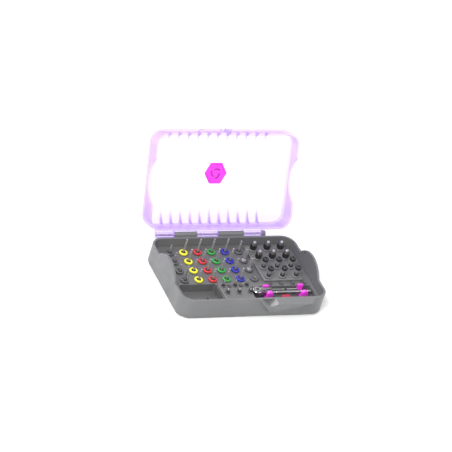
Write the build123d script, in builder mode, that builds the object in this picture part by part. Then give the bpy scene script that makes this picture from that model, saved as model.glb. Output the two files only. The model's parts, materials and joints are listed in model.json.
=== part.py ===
"""Hinged instrument cassette: grey tub, violet lid, lift-out tray with drills, drivers, bits and a torque wrench.

Millimetres. X runs along the hinge, +Y points to the hinge side, +Z is up.
The origin is the centre of the flat underside of the tub. The lid is exported standing open.
"""
import os

from build123d import *

# ---------------------------------------------------------------- driving sizes: tub and lid
case_length = 188.0
case_width = 118.0
base_height = 27.0
corner_radius = 16.0
wall = 2.5
base_floor = 2.5
base_edge_radius = 4.0
ledge_width = 3.0
lid_depth = 25.5
lid_wall = 3.0
lid_panel = 2.2
lid_edge_radius = 5.0
rim_gap = 0.3
open_angle = 112.0

# side tabs of the tub, and the lid cut-outs that pass over them
tab_chord = 54.0
tab_rise = 14.5
cutout_clearance = 1.0

# hinge
hinge_offset = 4.4
hinge_lift = 0.4
knuckle_radius = 3.5
pin_radius = 1.25
pin_fit = 0.04
knuckle_gap = 0.5
pin_overhang = 0.8
base_knuckles = ((-59.0, -31.5), (-2.0, 30.0), (56.0, 59.0))
lid_knuckle_start = -84.0

# front thumb ledge of the tub: flat on top, its underside slopes back to a curve on the wall
ledge_left = 3.0
ledge_right = 77.0
ledge_reach = 9.9
ledge_front_right = 67.0
ledge_edge = 1.6
ledge_end = 6.5
ledge_low = (24.0, 2.5)
ledge_curve = ((72.0, 15.5), (59.0, 9.5), (46.0, 5.0))
notch_left = 4.5
notch_low = 15.0
notch_right = 23.0
notch_depth = 5.3

# thumb lip of the lid, with a window and a post whose foot closes over the front wall
lip_right = 0.5
lip_left = -44.0
lip_curve = ((-20.0, 9.5), (-29.0, 6.2), (-38.0, 4.5))
lip_reach = 9.5
lip_thickness = 2.6
window_span = (-12.7, -7.3)
window_reach = (1.0, 6.0)
post_span = (-6.2, -1.6)
post_reach = 6.0
post_height = 7.0
foot_gap = 0.4
foot_thickness = 2.2
foot_drop = 3.0

# lid ribs and emblem
rib_count = 11
rib_first = -69.5
rib_pitch = 12.65
rib_thickness = 1.3
rib_height = 14.0
rib_hollow = 0.37
rear_rib_length = 20.0
front_rib_length = 15.0
emblem_centre = (-3.0, -5.0)
emblem_flats = 25.5
emblem_thickness = 1.0
emblem_groove = 0.4
emblem_groove_radii = (9.7, 7.65)

# ---------------------------------------------------------------- driving sizes: tray
tray_clearance = 0.6
tray_thickness = 2.0
tray_top = 16.2
pocket_wall = 1.2
pocket_radius = 3.0
well_box = (-82.0, -34.0, -51.0, -16.0)
well_floor = 5.0
trough_floor = 9.5
trough_margin = 0.7
trough_end_room = 2.2
trough_front_room = 7.0
vent_radius = 1.4
vent_places = ((-46.0, -28.5), (-42.5, -31.5), (-70.0, -28.5), (-66.5, -31.5))
vent_slot = (4.0, 6.0)
vent_slot_places = ((-47.5, -41.0), (-64.0, -41.0))
drain_radius = 2.0
drain_columns = 8
drain_pitch = 20.0
drain_rows = 3

# instrument grid
column_pitch = 18.0
row_pitch = 17.0
row_first = 41.4
row_count = 4
colours = {"yellow": -3, "red": -2, "green": -1, "blue": 0}
pilot_column = -4
punch_column = 1
driver_columns = (2, 3, 4)

# raised blocks
driver_block_box = (28.5, 80.0, -15.2, 50.0)
driver_block_rise = 3.0
bit_block_left = -33.0
bit_block_front = -48.0
bit_block_rear = -16.6
bit_block_rise = 2.0
block_chamfer = 0.6
block_radius = 2.0

# grommets: outer radius, height over the face it sits on, dish radius, dish depth, bore radius, neck radius
ring_grommet = (5.2, 3.2, 3.3, 1.6, 2.45, 3.7)
driver_grommet = (4.4, 2.2, 2.6, 0.8, 2.0, 3.0)
bit_grommet = (2.8, 1.6, 1.9, 0.6, 1.5, 2.1)
neck_gap = 0.05
bead_height = 1.2
bead_step = 0.6

# ---------------------------------------------------------------- driving sizes: instruments
seat_gap = 0.1
shank_radius = 1.175
shank_groove_radius = 0.85
shank_groove = (2.2, 3.4)
shank_flat = 0.45
shank_flat_length = 5.0
edge_break = 0.3
collar_radius = 2.8
collar_height = 1.4
drill_radii = {"yellow": 1.3, "red": 1.6, "green": 1.85, "blue": 2.1}
drill_rises = (21.0, 19.5, 18.0, 17.0)
tip_room = 2.2
drill_point = 1.2
flute_share = 0.45
pilot_rises = (13.0, 15.0, 11.0, 22.0)
pilot_radii = (1.2, 1.8, 1.0, 1.2)
punch_rise = 20.0
punch_radius = 2.7
punch_wall = 0.5
punch_cup = 12.0
probe_rise = 17.0
driver_depth = 9.0
driver_shaft_radius = 1.6
knob_radius = 4.2
knob_height = 8.0
knob_chamfer = 0.8
knob_grooves = 12
knob_groove_radius = 0.35
knob_tip_radius = 1.9
knob_tip_height = 2.8
knob_tip_chamfer = 0.4
head_radius = 3.8
head_height = 4.5
head_stem_radius = 1.3
head_rise = 15.0
head_socket_radius = 1.5
head_socket_depth = 1.5
bit_depth = 7.0
bit_shaft_radius = 1.1
bit_collar_height = 2.0
long_bit_rise = 9.0
long_bit_collar = 1.7
long_bit_first = -28.0
long_bit_row = -23.0
short_bit_rise = 6.0
short_bit_head = 2.4
short_bit_first = -27.0
short_bit_row = -35.0
bit_columns = 3
bit_margin = 3.4
spare_columns = (35.0, 50.0, 65.0, 80.0)
spare_clearance = 0.3

# torque wrench, lying along X in the trough
wrench_height = 15.0
wrench_head = (13.6, -30.6)
wrench_head_radius = 6.3
wrench_head_thickness = 7.0
wrench_neck_thickness = 5.0
wrench_neck_end = 31.0
wrench_neck_root = 5.1
wrench_neck_cover = 0.6
wrench_v_start = 3.4
wheel_radius = 4.0
wheel_fit = 0.05
wheel_overhang = 0.4
wheel_square = 4.0
pawl_size = (2.4, 2.0, 2.6)
pawl_gap = 0.25
handle_y = -33.0
handle_radius = 2.0
handle_end = 84.0
handle_cap_radius = 2.4
handle_cap_length = 3.0
handle_root = 1.0
beam_y = -27.8
beam_radius = 1.1
beam_end = 68.0
beam_stop = (50.8, 53.2)
beam_stop_radius = 1.6

# silicone clips that hold the wrench
clip_length = 7.6
clip_places = (27.0, 72.6)
clip_base = 2.0
clip_top = 20.5
clip_post = 4.2
clip_rear_post = 2.1
clip_rear_drop = 1.05
clip_rounding = 3.6
clip_gap = 0.6
rest_radius = 6.5
rest_depth = 5.0
rest_height = 5.5
rest_edge = 0.8
rest_place = (48.5, -42.0)

# ---------------------------------------------------------------- derived sizes
half_length = case_length / 2
half_width = case_width / 2
ledge_top = tray_top - tray_thickness
tool_foot = base_floor + tip_room
lid_rim = base_height + rim_gap
lid_top = lid_rim + lid_depth
panel_inside = lid_top - lid_panel
hinge_y = half_width + hinge_offset
hinge_z = base_height + hinge_lift
hinge_axis = Axis((0, hinge_y, hinge_z), (1, 0, 0))
lid_knuckles = (
    (lid_knuckle_start, base_knuckles[0][0] - knuckle_gap),
    *((left[1] + knuckle_gap, right[0] - knuckle_gap) for left, right in zip(base_knuckles, base_knuckles[1:])),
)
tab_radius = ((tab_chord / 2) ** 2 + tab_rise**2) / (2 * tab_rise)
tab_centre_z = base_height + tab_rise - tab_radius
driver_block_top = tray_top + driver_block_rise
clip_rear_inside = beam_y + beam_stop_radius + clip_gap
clip_front_inside = handle_y - handle_cap_radius - clip_gap
trough_box = (
    wrench_head[0] - wrench_head_radius - trough_margin,
    handle_end + trough_end_room,
    clip_front_inside - clip_post - trough_front_room + trough_margin,
    clip_rear_inside + clip_rear_post + trough_margin,
)
spare_row = trough_box[3] + pocket_wall + bit_grommet[-1] + bead_step + spare_clearance
spare_places = [(x, spare_row) for x in spare_columns]
bit_block_top = tray_top + bit_block_rise
bit_block_box = (bit_block_left, trough_box[0] - pocket_wall, bit_block_front, bit_block_rear)
bit_last = bit_block_box[1] - bit_margin


def column_x(column):
    return column * column_pitch


def row_y(row):
    return row_first - row * row_pitch


def grid_places(columns):
    return [(column_x(c), row_y(r)) for c in columns for r in range(row_count)]


def bit_places_in_row(first, y):
    """Evenly spaced places from the first column to the one beside the trough."""
    step = (bit_last - first) / (bit_columns - 1)
    return [(first + step * i, y) for i in range(bit_columns)]


def upright_plane(x, y):
    """Plane through (x, y) whose sketches read as (radius, height)."""
    return Plane(origin=(x, y, 0), x_dir=(1, 0, 0), z_dir=(0, -1, 0))


def upright_axis(x, y):
    return Axis((x, y, 0), (0, 0, 1))


def outline(x, y, points):
    """Closed (radius, height) outline standing at (x, y), ready to revolve."""
    with BuildSketch(upright_plane(x, y)) as profile:
        with BuildLine():
            Polyline(*points, close=True)
        make_face()
    return profile.sketch


def save(part, name):
    part.label = name
    export_step(part, f"parts/{name}.step")


def box_centre(box):
    return ((box[0] + box[1]) / 2, (box[2] + box[3]) / 2)


def box_size(box):
    return (box[1] - box[0], box[3] - box[2])


# ---------------------------------------------------------------- tub
def thumb_ledge():
    """Thumb ledge level with the front rim, with a V notch across its left end."""
    top = base_height
    front_low = top - ledge_edge
    with BuildPart() as ledge:
        with BuildSketch(Plane.XZ.offset(half_width - wall / 2)):
            with BuildLine():
                Polyline(ledge_low, (ledge_left, top), (ledge_right, top), (ledge_right, top - ledge_end))
                Spline((ledge_right, top - ledge_end), *ledge_curve, ledge_low)
            make_face()
        with BuildSketch(Plane.XZ.offset(half_width + ledge_reach)):
            Polygon(
                (ledge_left + ledge_edge, front_low),
                (ledge_left, top),
                (ledge_front_right, top),
                (ledge_front_right, front_low),
                align=None,
            )
        loft(ruled=True)
        with BuildSketch(Plane.XZ.offset(half_width)):
            Polygon((notch_left, top), (notch_low, top - notch_depth), (notch_right, top), align=None)
        extrude(amount=ledge_reach, mode=Mode.SUBTRACT)
    return ledge.part


def base_shell():
    with BuildPart() as shell:
        with BuildSketch():
            RectangleRounded(case_length, case_width, corner_radius)
        extrude(amount=base_height)
        fillet(shell.faces().sort_by(Axis.Z)[0].edges(), base_edge_radius)
        add(thumb_ledge())
        # tray cavity, and below the ledge the narrower well that the tips hang in
        with BuildSketch(Plane.XY.offset(ledge_top)):
            RectangleRounded(case_length - 2 * wall, case_width - 2 * wall, corner_radius - wall)
        extrude(amount=base_height - ledge_top, mode=Mode.SUBTRACT)
        inset = wall + ledge_width
        with BuildSketch(Plane.XY.offset(base_floor)):
            RectangleRounded(case_length - 2 * inset, case_width - 2 * inset, corner_radius - inset)
        extrude(amount=ledge_top - base_floor, mode=Mode.SUBTRACT)
        # raised round tabs on the two short walls
        for side in (-1, 1):
            face = Plane(origin=(side * half_length, 0, 0), x_dir=(0, side, 0), z_dir=(side, 0, 0))
            with BuildSketch(face):
                with Locations((0, tab_centre_z)):
                    Circle(tab_radius)
                with Locations((0, base_height)):
                    Rectangle(
                        2 * tab_radius, tab_rise + 1, align=(Align.CENTER, Align.MIN), mode=Mode.INTERSECT
                    )
            extrude(amount=-wall)
        # hinge knuckles with the webs that carry them
        for start, end in base_knuckles:
            with BuildSketch(Plane.YZ.offset(start)):
                with Locations((hinge_y, hinge_z)):
                    Circle(knuckle_radius)
                with Locations((half_width - wall / 2, hinge_z - knuckle_radius)):
                    Rectangle(
                        hinge_offset + wall / 2,
                        knuckle_radius - hinge_lift - rim_gap / 2,
                        align=(Align.MIN, Align.MIN),
                    )
            extrude(amount=end - start)
        with BuildSketch(Plane.YZ.offset(base_knuckles[0][0])):
            with Locations((hinge_y, hinge_z)):
                Circle(pin_radius + pin_fit)
        extrude(amount=base_knuckles[-1][1] - base_knuckles[0][0], mode=Mode.SUBTRACT)
        # drain holes along the floor
        with BuildSketch():
            with GridLocations(drain_pitch, case_width / drain_rows, drain_columns, drain_rows):
                Circle(drain_radius)
        extrude(amount=base_floor, mode=Mode.SUBTRACT)
    return shell.part


def hinge_pin():
    start = lid_knuckles[0][0] - pin_overhang
    end = base_knuckles[-1][1] + pin_overhang
    with BuildPart() as pin:
        with BuildSketch(Plane.YZ.offset(start)):
            with Locations((hinge_y, hinge_z)):
                Circle(pin_radius)
        extrude(amount=end - start)
        chamfer(pin.edges().filter_by(GeomType.CIRCLE), pin_overhang / 2)
    return pin.part


# ---------------------------------------------------------------- lid, drawn closed and then swung open
def thumb_lip():
    """Flat lip on the lid's front rim with a window, and the post and foot beside it."""
    root = -half_width + lid_wall / 2
    front = -half_width - lip_reach
    curve = [(x, -half_width - reach) for x, reach in lip_curve]
    foot_back = -half_width - foot_gap
    with BuildPart() as lip:
        with BuildSketch(Plane.XY.offset(lid_rim)):
            with BuildLine():
                Polyline((lip_left, root), (lip_right, root), (lip_right, front), curve[0])
                Spline(*curve, (lip_left, root))
            make_face()
            with Locations((window_span[0], -half_width - window_reach[0])):
                Rectangle(
                    window_span[1] - window_span[0],
                    window_reach[1] - window_reach[0],
                    align=(Align.MIN, Align.MAX),
                    mode=Mode.SUBTRACT,
                )
        extrude(amount=lip_thickness)
        with BuildSketch(Plane.YZ.offset(post_span[0])):
            Polygon(
                (root, lid_rim),
                (root, lid_rim + post_height),
                (-half_width, lid_rim + post_height),
                (-half_width - post_reach, lid_rim + lip_thickness),
                (-half_width - post_reach, lid_rim),
                align=None,
            )
            with Locations((foot_back, base_height - foot_drop)):
                Rectangle(foot_thickness, foot_drop + rim_gap, align=(Align.MAX, Align.MIN))
        extrude(amount=post_span[1] - post_span[0])
    return lip.part


def rib_outline(x, wall_y, tip_y):
    """Gusset between the panel and a long wall, hollowed by an arc."""
    run = wall_y - tip_y
    foot_z = panel_inside - rib_height
    with BuildSketch(Plane.YZ.offset(x - rib_thickness / 2)) as profile:
        with BuildLine():
            Line((tip_y, panel_inside), (wall_y, panel_inside))
            Line((wall_y, panel_inside), (wall_y, foot_z))
            ThreePointArc(
                (wall_y, foot_z),
                (wall_y - rib_hollow * run, panel_inside - rib_hollow * rib_height),
                (tip_y, panel_inside),
            )
        make_face()
    return profile.sketch


def lid_shell():
    inner_length = case_length - 2 * lid_wall
    inner_width = case_width - 2 * lid_wall
    root = half_width - lid_wall / 2
    with BuildPart() as shell:
        with BuildSketch(Plane.XY.offset(lid_rim)):
            RectangleRounded(case_length, case_width, corner_radius)
        extrude(amount=lid_depth)
        fillet(shell.faces().sort_by(Axis.Z)[-1].edges(), lid_edge_radius)
        with BuildSketch(Plane.XY.offset(lid_rim)):
            RectangleRounded(inner_length, inner_width, corner_radius - lid_wall)
        extrude(amount=lid_depth - lid_panel, mode=Mode.SUBTRACT)
        # gussets along both long walls
        for i in range(rib_count):
            x = rib_first + i * rib_pitch
            extrude(rib_outline(x, root, root - rear_rib_length), amount=rib_thickness)
            extrude(rib_outline(x, -root, -root + front_rib_length), amount=rib_thickness)
        # cut-outs that clear the tub's side tabs
        with BuildSketch(Plane.YZ.offset(-half_length)):
            with Locations((0, tab_centre_z)):
                Circle(tab_radius + cutout_clearance)
        extrude(amount=case_length, mode=Mode.SUBTRACT)
        add(thumb_lip())
        # hinge knuckles with their webs
        for start, end in lid_knuckles:
            with BuildSketch(Plane.YZ.offset(start)):
                with Locations((hinge_y, hinge_z)):
                    Circle(knuckle_radius)
                with Locations((root, lid_rim)):
                    Rectangle(
                        hinge_y - root, knuckle_radius + hinge_z - lid_rim, align=(Align.MIN, Align.MIN)
                    )
            extrude(amount=end - start)
        with BuildSketch(Plane.YZ.offset(lid_knuckles[0][0])):
            with Locations((hinge_y, hinge_z)):
                Circle(pin_radius + 2 * pin_fit)
        extrude(amount=lid_knuckles[-1][1] - lid_knuckles[0][0], mode=Mode.SUBTRACT)
    return shell.part.rotate(hinge_axis, -open_angle)


def lid_emblem():
    """Plain hexagon badge with a hexagonal groove, fixed to the inside of the panel."""
    back = panel_inside - emblem_thickness
    with BuildPart() as badge:
        with BuildSketch(Plane.XY.offset(back)):
            with Locations(emblem_centre):
                RegularPolygon(emblem_flats / 2, 6, major_radius=False)
        extrude(amount=emblem_thickness)
        with BuildSketch(Plane.XY.offset(back)):
            with Locations(emblem_centre):
                RegularPolygon(emblem_groove_radii[0], 6, major_radius=False)
                RegularPolygon(emblem_groove_radii[1], 6, major_radius=False, mode=Mode.SUBTRACT)
        extrude(amount=emblem_groove, mode=Mode.SUBTRACT)
    return badge.part.rotate(hinge_axis, -open_angle)


# ---------------------------------------------------------------- tray and its blocks
def pocket(box, floor_z):
    """Outside of a pocket that hangs under the tray."""
    length, width = box_size(box)
    with BuildPart() as shell:
        with BuildSketch(Plane.XY.offset(floor_z - pocket_wall)):
            with Locations(box_centre(box)):
                RectangleRounded(
                    length + 2 * pocket_wall, width + 2 * pocket_wall, pocket_radius + pocket_wall
                )
        extrude(amount=ledge_top - floor_z + pocket_wall)
    return shell.part


def holes_through(places, grommet, bottom, top):
    """Round holes for the necks of the grommets standing at the given places."""
    with BuildPart() as holes:
        with BuildSketch(Plane.XY.offset(bottom)):
            with Locations(*places):
                Circle(grommet[-1] + neck_gap)
        extrude(amount=top - bottom)
    return holes.part


ring_places = grid_places((*colours.values(), pilot_column, punch_column))
driver_places = grid_places(driver_columns)
long_bit_places = bit_places_in_row(long_bit_first, long_bit_row)
spare_bit_places = [((a[0] + b[0]) / 2, a[1]) for a, b in zip(long_bit_places, long_bit_places[1:])]
short_bit_places = bit_places_in_row(short_bit_first, short_bit_row)
bit_places = (*long_bit_places, *spare_bit_places, *short_bit_places)


def tray_plate():
    outer_length = case_length - 2 * (wall + tray_clearance)
    outer_width = case_width - 2 * (wall + tray_clearance)
    with BuildPart() as plate:
        with BuildSketch(Plane.XY.offset(ledge_top)):
            RectangleRounded(outer_length, outer_width, corner_radius - wall - tray_clearance)
        extrude(amount=tray_thickness)
        for box, floor_z in ((well_box, well_floor), (trough_box, trough_floor)):
            add(pocket(box, floor_z))
            with BuildSketch(Plane.XY.offset(floor_z)):
                with Locations(box_centre(box)):
                    RectangleRounded(*box_size(box), pocket_radius)
            extrude(amount=tray_top - floor_z, mode=Mode.SUBTRACT)
        with BuildSketch(Plane.XY.offset(well_floor - pocket_wall)):
            with Locations(*vent_places):
                Circle(vent_radius)
            with Locations(*vent_slot_places):
                Rectangle(*vent_slot)
        extrude(amount=pocket_wall, mode=Mode.SUBTRACT)
        add(holes_through(ring_places, ring_grommet, ledge_top, tray_top), mode=Mode.SUBTRACT)
        add(holes_through(driver_places, driver_grommet, ledge_top, tray_top), mode=Mode.SUBTRACT)
        add(holes_through(bit_places, bit_grommet, ledge_top, tray_top), mode=Mode.SUBTRACT)
        add(holes_through(spare_places, bit_grommet, ledge_top, tray_top), mode=Mode.SUBTRACT)
    return plate.part


def raised_block(box, rise, places, grommet):
    """Block glued to the tray, bored for its grommets."""
    with BuildPart() as block:
        with BuildSketch(Plane.XY.offset(tray_top)):
            with Locations(box_centre(box)):
                RectangleRounded(*box_size(box), block_radius)
        extrude(amount=rise)
        chamfer(block.faces().sort_by(Axis.Z)[-1].edges(), block_chamfer)
        add(holes_through(places, grommet, tray_top, tray_top + rise), mode=Mode.SUBTRACT)
    return block.part


def grommet_set(places, grommet, face_z):
    """Grommets seated on face_z: rounded flange, dished mouth, neck through the tray and a bead below it."""
    radius, height, dish, dish_depth, bore, neck = grommet
    top = face_z + height
    round_off = height / 3
    bead_top = ledge_top
    points = (
        (bore, bead_top - bead_height),
        (neck, bead_top - bead_height),
        (neck + bead_step, bead_top - bead_height / 2),
        (neck + bead_step, bead_top),
        (neck, bead_top),
        (neck, face_z),
        (radius - round_off / 2, face_z),
        (radius, face_z + round_off),
        (radius, top - round_off),
        (radius - round_off, top),
        (dish + round_off / 2, top),
        (dish, top - round_off / 2),
        (dish, top - dish_depth),
        (bore, top - dish_depth),
    )
    with BuildPart() as rings:
        for x, y in places:
            revolve(outline(x, y, points), axis=upright_axis(x, y))
    return rings.part


# ---------------------------------------------------------------- instruments
def shank_points(seat, top, body):
    """Half section of a rotary instrument: point, body, collar on its seat, latch shank."""
    groove_low = top - shank_groove[1]
    groove_high = top - shank_groove[0]
    return (
        (0, tool_foot),
        (body, tool_foot + drill_point),
        (body, seat),
        (collar_radius, seat),
        (collar_radius, seat + collar_height),
        (shank_radius, seat + collar_height),
        (shank_radius, groove_low),
        (shank_groove_radius, groove_low),
        (shank_groove_radius, groove_high),
        (shank_radius, groove_high),
        (shank_radius, top - edge_break),
        (shank_radius - edge_break, top),
        (0, top),
    )


def ring_seat():
    return tray_top + ring_grommet[1] - ring_grommet[3] + seat_gap


def rotary_tool(x, y, rise, body, fluted):
    """Drill or pilot: a turned body with a flat on its shank, and two flutes where it cuts."""
    top = tray_top + rise
    seat = ring_seat()
    with BuildPart() as tool:
        revolve(outline(x, y, shank_points(seat, top, body)), axis=upright_axis(x, y))
        with BuildSketch(Plane.XY.offset(top - shank_flat_length)):
            with Locations((x + shank_radius - shank_flat, y)):
                Rectangle(shank_radius, 2 * shank_radius, align=(Align.MIN, Align.CENTER))
        extrude(amount=shank_flat_length, mode=Mode.SUBTRACT)
        if fluted:
            with BuildSketch(Plane.XY.offset(tool_foot)):
                with Locations((x - body, y), (x + body, y)):
                    Circle(body * flute_share)
            extrude(amount=ledge_top - tool_foot, mode=Mode.SUBTRACT)
    return tool.part


def tissue_punch(x, y):
    """Open cutting cup on a stem, standing mouth up."""
    top = tray_top + punch_rise
    seat = ring_seat()
    cup_low = top - punch_cup
    points = (
        (0, tool_foot),
        (shank_radius, tool_foot),
        (shank_radius, seat),
        (collar_radius, seat),
        (collar_radius, seat + collar_height),
        (shank_radius, seat + collar_height),
        (shank_radius, cup_low - punch_radius),
        (punch_radius, cup_low),
        (punch_radius, top),
        (punch_radius - punch_wall, top),
        (punch_radius - punch_wall, cup_low),
        (0, cup_low),
    )
    with BuildPart() as punch:
        revolve(outline(x, y, points), axis=upright_axis(x, y))
    return punch.part


def knob_driver(x, y):
    """Short hand driver: black knob with a steel drive end standing up."""
    seat = driver_block_top + driver_grommet[1] + seat_gap
    knob_top = seat + knob_height
    points = (
        (0, driver_block_top - driver_depth),
        (driver_shaft_radius, driver_block_top - driver_depth),
        (driver_shaft_radius, seat),
        (knob_radius - knob_chamfer, seat),
        (knob_radius, seat + knob_chamfer),
        (knob_radius, knob_top - knob_chamfer),
        (knob_radius - knob_chamfer, knob_top),
        (knob_tip_radius, knob_top),
        (knob_tip_radius, knob_top + knob_tip_height - knob_tip_chamfer),
        (knob_tip_radius - knob_tip_chamfer, knob_top + knob_tip_height),
        (0, knob_top + knob_tip_height),
    )
    with BuildPart() as driver:
        revolve(outline(x, y, points), axis=upright_axis(x, y))
        # finger grooves around the knob
        with BuildSketch(Plane.XY.offset(seat + knob_chamfer)):
            with Locations((x, y)):
                with PolarLocations(knob_radius, knob_grooves):
                    Circle(knob_groove_radius)
        extrude(amount=knob_height - 2 * knob_chamfer, mode=Mode.SUBTRACT)
    return driver.part


def head_driver(x, y):
    """Long driver: steel stem between a low collar and a black head."""
    seat = driver_block_top + driver_grommet[1] + seat_gap
    top = driver_block_top + head_rise
    points = (
        (0, driver_block_top - driver_depth),
        (driver_shaft_radius, driver_block_top - driver_depth),
        (driver_shaft_radius, seat),
        (collar_radius, seat),
        (collar_radius, seat + 2 * collar_height),
        (head_stem_radius, seat + 2 * collar_height),
        (head_stem_radius, top - head_height),
        (head_radius - knob_chamfer, top - head_height),
        (head_radius, top - head_height + knob_chamfer),
        (head_radius, top - knob_chamfer),
        (head_radius - knob_chamfer, top),
        (0, top),
    )
    with BuildPart() as driver:
        revolve(outline(x, y, points), axis=upright_axis(x, y))
        with BuildSketch(Plane.XY.offset(top - head_socket_depth)):
            with Locations((x, y)):
                RegularPolygon(head_socket_radius, 6)
        extrude(amount=head_socket_depth, mode=Mode.SUBTRACT)
    return driver.part


def bit_set(places, rise, head):
    """Small screw bits standing in the bit block."""
    seat = bit_block_top + bit_grommet[1] + seat_gap
    top = bit_block_top + rise
    points = (
        (0, bit_block_top - bit_depth),
        (bit_shaft_radius, bit_block_top - bit_depth),
        (bit_shaft_radius, seat),
        (head, seat),
        (head, seat + bit_collar_height),
        (bit_shaft_radius, seat + bit_collar_height),
        (bit_shaft_radius, top - edge_break),
        (bit_shaft_radius - edge_break, top),
        (0, top),
    )
    with BuildPart() as bits:
        for x, y in places:
            revolve(outline(x, y, points), axis=upright_axis(x, y))
    return bits.part


# ---------------------------------------------------------------- torque wrench
def wrench_body():
    head_x, head_y = wrench_head
    half_head = wrench_head_thickness / 2
    half_neck = wrench_neck_thickness / 2
    neck_top = beam_y + beam_radius + wrench_neck_cover
    neck_low = handle_y - handle_radius
    with BuildPart() as body:
        with BuildSketch(Plane.XY.offset(wrench_height - half_head)):
            with Locations(wrench_head):
                Circle(wrench_head_radius)
        extrude(amount=wrench_head_thickness)
        with BuildSketch(Plane.XY.offset(wrench_height - half_neck)):
            with BuildLine():
                Polyline(
                    (head_x, head_y + wrench_neck_root),
                    (wrench_neck_end, neck_top),
                    (wrench_neck_end, neck_low),
                    (head_x, head_y - wrench_neck_root),
                    close=True,
                )
            make_face()
        extrude(amount=wrench_neck_thickness)
        # V-shaped opening in the neck
        with BuildSketch(Plane.XY.offset(wrench_height - half_neck)):
            with BuildLine():
                Polyline(
                    (head_x + wrench_head_radius + wrench_v_start, head_y),
                    (wrench_neck_end, beam_y - beam_radius),
                    (wrench_neck_end, handle_y + handle_radius),
                    close=True,
                )
            make_face()
        extrude(amount=wrench_neck_thickness, mode=Mode.SUBTRACT)
        # handle rod with an end cap
        with BuildSketch(Plane.YZ.offset(wrench_neck_end - handle_root)):
            with Locations((handle_y, wrench_height)):
                Circle(handle_radius)
        extrude(amount=handle_end - wrench_neck_end + handle_root)
        with BuildSketch(Plane.YZ.offset(handle_end - handle_cap_length)):
            with Locations((handle_y, wrench_height)):
                Circle(handle_cap_radius)
        extrude(amount=handle_cap_length)
        # bore for the ratchet wheel, and the pawl's pocket beside it
        with BuildSketch(Plane.XY.offset(wrench_height - half_head)):
            with Locations(wrench_head):
                Circle(wheel_radius + wheel_fit)
        extrude(amount=wrench_head_thickness, mode=Mode.SUBTRACT)
        with BuildSketch(Plane.XY.offset(wrench_height - pawl_size[2] / 2)):
            with Locations((head_x + wheel_radius, head_y)):
                Rectangle(
                    pawl_gap + pawl_size[0], pawl_size[1] + 2 * neck_gap, align=(Align.MIN, Align.CENTER)
                )
        extrude(amount=pawl_size[2], mode=Mode.SUBTRACT)
    return body.part


def ratchet_wheel():
    thickness = wrench_head_thickness + 2 * wheel_overhang
    with BuildPart() as wheel:
        with BuildSketch(Plane.XY.offset(wrench_height - thickness / 2)):
            with Locations(wrench_head):
                Circle(wheel_radius)
                Rectangle(wheel_square, wheel_square, mode=Mode.SUBTRACT)
        extrude(amount=thickness)
    return wheel.part


def wrench_pawl():
    low = wrench_height - pawl_size[2] / 2
    with BuildPart() as pawl:
        with BuildSketch(Plane.XY.offset(low)):
            with Locations((wrench_head[0] + wheel_radius + pawl_gap, wrench_head[1])):
                Rectangle(pawl_size[0], pawl_size[1], align=(Align.MIN, Align.CENTER))
        extrude(amount=pawl_size[2])
    return pawl.part


def wrench_beam():
    """Springy measuring beam beside the handle, with a stop collar."""
    with BuildPart() as beam:
        for start, end, radius in (
            (wrench_neck_end, beam_end, beam_radius),
            (*beam_stop, beam_stop_radius),
        ):
            with BuildSketch(Plane.YZ.offset(start)):
                with Locations((beam_y, wrench_height)):
                    Circle(radius)
            extrude(amount=end - start)
    return beam.part


def wrench_clip(x):
    """Soft U clip: a foot on the trough floor, a tall front post with a round top and a lower rear post."""
    rear_inside = clip_rear_inside
    front_inside = clip_front_inside
    low = trough_floor
    with BuildPart() as clip:
        with BuildSketch(Plane.YZ.offset(x - clip_length / 2)):
            with BuildLine():
                Polyline(
                    (front_inside - clip_post, low),
                    (rear_inside + clip_rear_post, low),
                    (rear_inside + clip_rear_post, clip_top - clip_rear_drop),
                    (rear_inside, clip_top - clip_rear_drop),
                    (rear_inside, low + clip_base),
                    (front_inside, low + clip_base),
                    (front_inside, clip_top),
                    (front_inside - clip_post, clip_top),
                    close=True,
                )
            make_face()
        extrude(amount=clip_length)
        fillet(clip.edges().filter_by(Axis.Y).group_by(Axis.Z)[-1], clip_rounding)
    return clip.part


def wrench_rest():
    """Low half-round pad in front of the handle."""
    with BuildPart() as pad:
        with BuildSketch(Plane.XY.offset(trough_floor)):
            with Locations(rest_place):
                Circle(rest_radius)
                Rectangle(2 * rest_radius, rest_depth, align=(Align.CENTER, Align.MIN), mode=Mode.INTERSECT)
        extrude(amount=rest_height)
        fillet(pad.faces().sort_by(Axis.Z)[-1].edges(), rest_edge)
    return pad.part


# ---------------------------------------------------------------- write every piece
os.makedirs("parts", exist_ok=True)
save(base_shell(), "base_shell")
save(hinge_pin(), "hinge_pin")
save(lid_shell(), "lid_shell")
save(lid_emblem(), "lid_emblem")
save(tray_plate(), "tray_plate")
save(raised_block(driver_block_box, driver_block_rise, driver_places, driver_grommet), "driver_block")
save(raised_block(bit_block_box, bit_block_rise, bit_places, bit_grommet), "bit_block")

for colour, column in colours.items():
    save(grommet_set(grid_places((column,)), ring_grommet, tray_top), f"{colour}_grommets")
    for row, rise in enumerate(drill_rises):
        drill = rotary_tool(column_x(column), row_y(row), rise, drill_radii[colour], fluted=True)
        save(drill, f"drill_{colour}_{row + 1}")

save(grommet_set(grid_places((pilot_column, punch_column)), ring_grommet, tray_top), "grey_grommets")
for row, (rise, radius) in enumerate(zip(pilot_rises, pilot_radii)):
    pilot = rotary_tool(column_x(pilot_column), row_y(row), rise, radius, fluted=False)
    save(pilot, f"pilot_drill_{row + 1}")
save(rotary_tool(column_x(punch_column), row_y(0), probe_rise, shank_radius, fluted=False), "depth_probe")
for row in (1, 2):
    save(tissue_punch(column_x(punch_column), row_y(row)), f"tissue_punch_{row}")

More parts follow.
